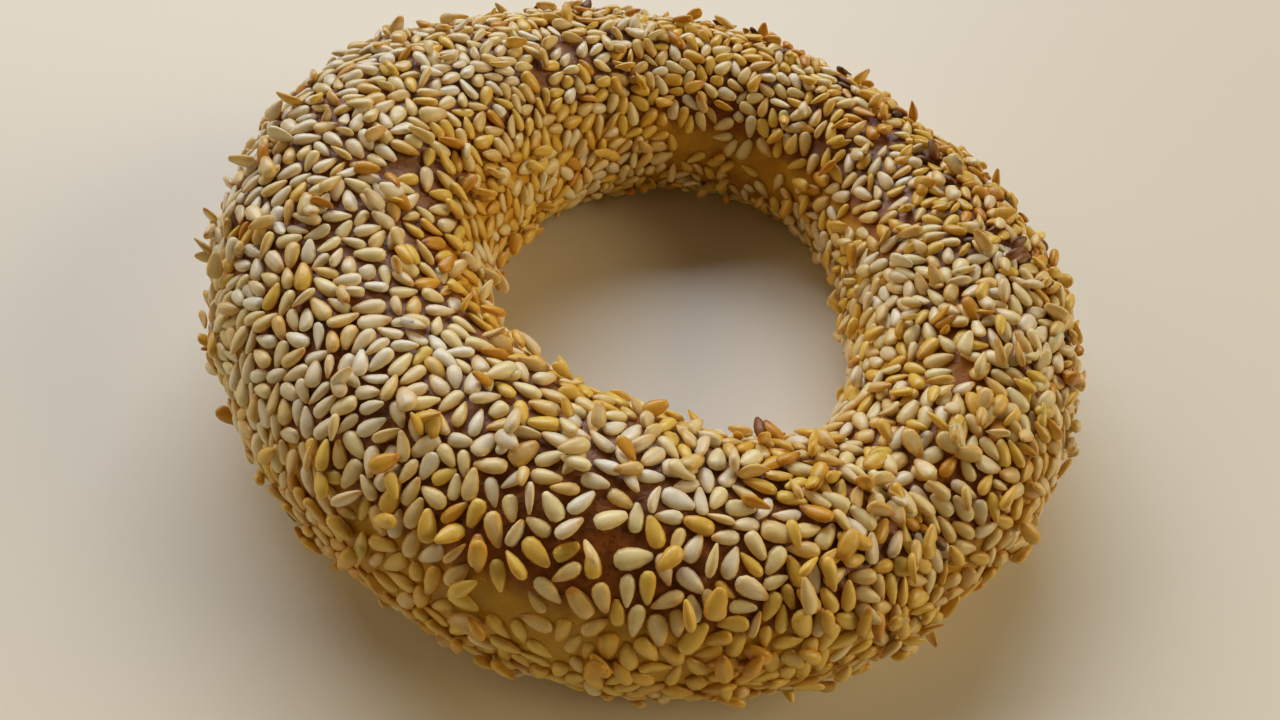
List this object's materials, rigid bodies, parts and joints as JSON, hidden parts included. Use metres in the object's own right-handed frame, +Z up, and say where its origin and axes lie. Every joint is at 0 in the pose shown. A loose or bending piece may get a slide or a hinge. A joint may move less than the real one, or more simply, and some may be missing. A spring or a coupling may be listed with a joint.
{
  "type": "simit",
  "caption": "Small sesame bread ring: an uneven baked rope of dough with a round hole, crusted with loose-set sesame seeds.",
  "frame": {"origin": "on the surface that the ring lies on, below the middle of its outline", "axes": "+Z up out of the surface; -Y towards the side of the ring nearest the viewer, and -X towards its thickest side"},
  "size_m": [0.105, 0.1055, 0.0297],
  "materials": {
    "crust": "baked bread crust, satin brown on top, golden and unbrowned below",
    "seeds": "hulled sesame, smooth and satin, ivory to pale gold",
    "toasted_seeds": "toasted sesame, satin, golden brown to charred"
  },
  "bodies": {
    "root": {"simit": "crust"}
  },
  "joints": []
}
